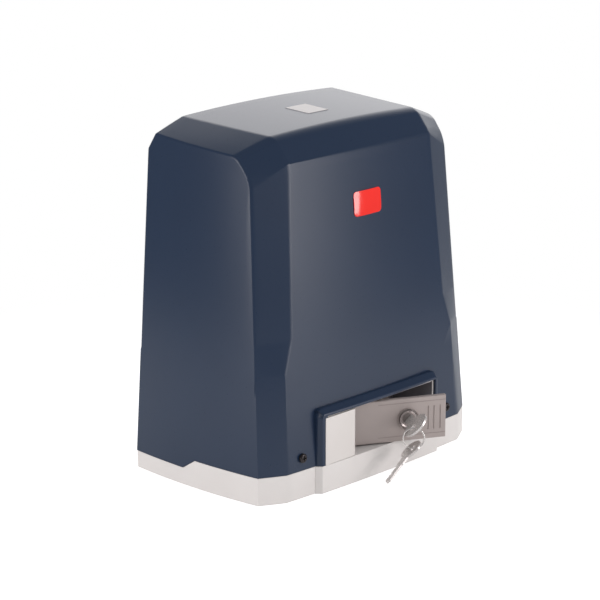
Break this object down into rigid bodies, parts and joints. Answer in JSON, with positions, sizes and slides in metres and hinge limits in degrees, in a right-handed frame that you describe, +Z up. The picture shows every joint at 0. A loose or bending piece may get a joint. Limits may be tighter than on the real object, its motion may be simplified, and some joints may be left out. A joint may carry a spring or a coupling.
{
  "type": "sliding gate motor",
  "caption": "Sliding gate motor: moulded tower cover on a cast base, rack pinion at the rear, front key-locked release lever, worm gearbox, motor, clutch and control board inside.",
  "frame": {"origin": "centre of the four base bolt slots, on the underside of the base", "axes": "+Z up, +X to the right of someone facing the front (the release lever's side), +Y towards the gate and its rack"},
  "size_m": [0.2486, 0.2331, 0.2766],
  "materials": {
    "moulded_cover": "satin",
    "cast_base": "satin",
    "recess_frame": "satin",
    "lever_grey": "satin",
    "screw_black": "satin",
    "dome_red": "gloss",
    "label_white": "satin",
    "rubber_black": "matte",
    "dark_chrome": "polished",
    "bright_nickel": "polished",
    "zinc_steel": "satin",
    "ground_steel": "satin",
    "pinion_steel": "satin",
    "bronze": "satin",
    "die_cast": "satin",
    "gasket_grey": "matte",
    "lamination": "satin",
    "copper_winding": "gloss",
    "capacitor_white": "satin",
    "carrier_black": "satin",
    "board_green": "satin",
    "terminal_green": "satin",
    "relay_blue": "satin",
    "display_dark": "gloss",
    "button_grey": "satin"
  },
  "bodies": {
    "base": {"base_housing": "cast_base", "cover": "moulded_cover", "cover_screws": "screw_black", "cover_badge": "dome_red", "top_label": "label_white", "cable_grommet": "rubber_black", "release_housing": "recess_frame", "lever_pivot_pin": "zinc_steel", "gearbox_cover": "die_cast", "gearbox_gasket": "gasket_grey", "m5_screws": "zinc_steel", "motor_flange": "die_cast", "stator_core": "lamination", "motor_windings": "copper_winding", "end_shield": "die_cast", "tie_screws": "zinc_steel", "run_capacitor": "capacitor_white", "transformer_core": "lamination", "transformer_coil": "copper_winding", "board_carrier": "carrier_black", "control_board": "board_green", "board_screws": "zinc_steel", "terminal_blocks": "terminal_green", "relays": "relay_blue", "display_module": "display_dark", "button_switches": "carrier_black", "limit_switch_body": "carrier_black", "bearing_outer_rings": "ground_steel", "bearing_balls": "ground_steel", "oil_seal": "rubber_black"},
    "lever": {"release_lever": "lever_grey", "lock_body": "dark_chrome", "lock_nut": "zinc_steel"},
    "lock": {"lock_cylinder": "dark_chrome", "lock_tongue": "zinc_steel", "tongue_screw": "zinc_steel"},
    "key_body": {"key": "bright_nickel"},
    "ring": {"key_ring": "bright_nickel"},
    "spare": {"spare_key": "bright_nickel"},
    "fork": {"push_rod": "zinc_steel", "shift_fork": "ground_steel"},
    "output": {"output_shaft": "ground_steel", "shaft_keys": "ground_steel", "wheel_circlip": "ground_steel", "pinion": "pinion_steel", "pinion_washer": "bright_nickel", "pinion_bolt": "zinc_steel", "output_inner_rings": "ground_steel", "clutch_spring": "ground_steel"},
    "sleeve": {"clutch_sleeve": "ground_steel"},
    "wheel": {"worm_wheel": "bronze", "wheel_bush": "bronze"},
    "rotor": {"worm_shaft": "ground_steel", "rotor_core": "lamination", "motor_inner_rings": "ground_steel"},
    "button_1": {"button_down": "button_grey"},
    "button_2": {"button_ok": "button_grey"},
    "button_3": {"button_up": "button_grey"},
    "wand": {"limit_wand": "zinc_steel"}
  },
  "joints": [
    {"name": "lever_hinge", "type": "hinge", "parent": "base", "child": "lever", "pos_m": [0.0061, -0.076, 0.04], "axis": [0, 0, -1], "range_deg": [-29.5, 32.5]},
    {"name": "lock_turn", "type": "hinge", "parent": "lever", "child": "lock", "pos_m": [0.01893, -0.09475, 0.0406], "axis": [-0.4924, -0.8704, 0], "range_deg": [0, 90]},
    {"name": "key_slide", "type": "slide", "parent": "lock", "child": "key_body", "axis": [-0.4924, -0.8704, 0], "range_m": [0, 0.02]},
    {"name": "ring_swing", "type": "hinge", "parent": "key_body", "child": "ring", "pos_m": [0.00927, -0.10824, 0.03883], "axis": [0.7314, 0.682, 0], "range_deg": [0, 30]},
    {"name": "spare_swing", "type": "hinge", "parent": "ring", "child": "spare", "pos_m": [0.00927, -0.10824, 0.02243], "axis": [-0.682, 0.7314, 0], "range_deg": [0, 40]},
    {"name": "fork_slide", "type": "slide", "parent": "base", "child": "fork", "axis": [0, 1, 0], "range_m": [-0.0029, 0.0032]},
    {"name": "output_spin", "type": "hinge", "parent": "base", "child": "output", "pos_m": [0, 0, 0.072], "axis": [0, 1, 0], "continuous": true},
    {"name": "sleeve_slide", "type": "slide", "parent": "output", "child": "sleeve", "axis": [0, 1, 0], "range_m": [-0.0029, 0.0032], "deforming": ["clutch_spring"]},
    {"name": "wheel_spin", "type": "hinge", "parent": "base", "child": "wheel", "pos_m": [0, 0, 0.072], "axis": [0, 1, 0], "continuous": true},
    {"name": "rotor_spin", "type": "hinge", "parent": "base", "child": "rotor", "pos_m": [0.05, -0.009, 0.072], "axis": [0, 0, 1], "continuous": true},
    {"name": "button_1_press", "type": "slide", "parent": "base", "child": "button_1", "axis": [0, 1, 0], "range_m": [0, 0.0004], "stiffness_N_per_m": 400},
    {"name": "button_2_press", "type": "slide", "parent": "base", "child": "button_2", "axis": [0, 1, 0], "range_m": [0, 0.0004], "stiffness_N_per_m": 400},
    {"name": "button_3_press", "type": "slide", "parent": "base", "child": "button_3", "axis": [0, 1, 0], "range_m": [0, 0.0004], "stiffness_N_per_m": 400},
    {"name": "wand_swing", "type": "hinge", "parent": "base", "child": "wand", "pos_m": [0, 0.059, 0.15], "axis": [0, 0, 1], "range_deg": [-25, 25], "stiffness_Nm_per_rad": 0.2}
  ],
  "couplings": [
    {"joint": "fork_slide", "follows": "lever_hinge", "m_per_rad": 0.0055448},
    {"joint": "sleeve_slide", "follows": "lever_hinge", "m_per_rad": 0.0055448},
    {"joint": "wheel_spin", "follows": "output_spin", "ratio": 1},
    {"joint": "rotor_spin", "follows": "output_spin", "ratio": 40}
  ]
}
